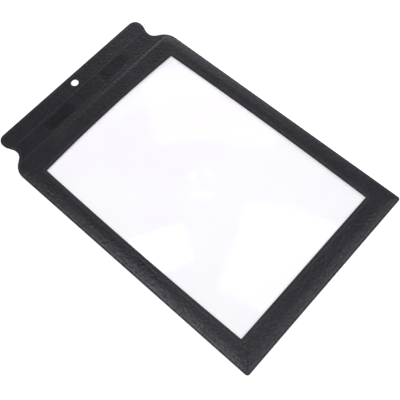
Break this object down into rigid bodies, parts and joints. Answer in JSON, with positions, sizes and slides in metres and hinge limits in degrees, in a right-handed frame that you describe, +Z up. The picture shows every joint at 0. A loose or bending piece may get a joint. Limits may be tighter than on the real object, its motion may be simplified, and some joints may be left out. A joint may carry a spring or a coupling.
{
  "type": "page magnifier",
  "caption": "Flat full-page Fresnel reading magnifier: clear grooved sheet in a welded black grained PVC border, with a waisted grip and a hanging hole.",
  "frame": {"origin": "under the middle of the part's bounding box, on the surface the part lies on", "axes": "+Z up out of the front face, +Y along the length towards the grip, +X across the page to the right"},
  "size_m": [0.19, 0.294, 0.002],
  "materials": {
    "front_pvc": "satin",
    "back_pvc": "matte",
    "lens_pvc": "gloss"
  },
  "bodies": {
    "root": {"front_cover": "front_pvc", "back_cover": "back_pvc", "fresnel_lens": "lens_pvc"}
  },
  "joints": []
}
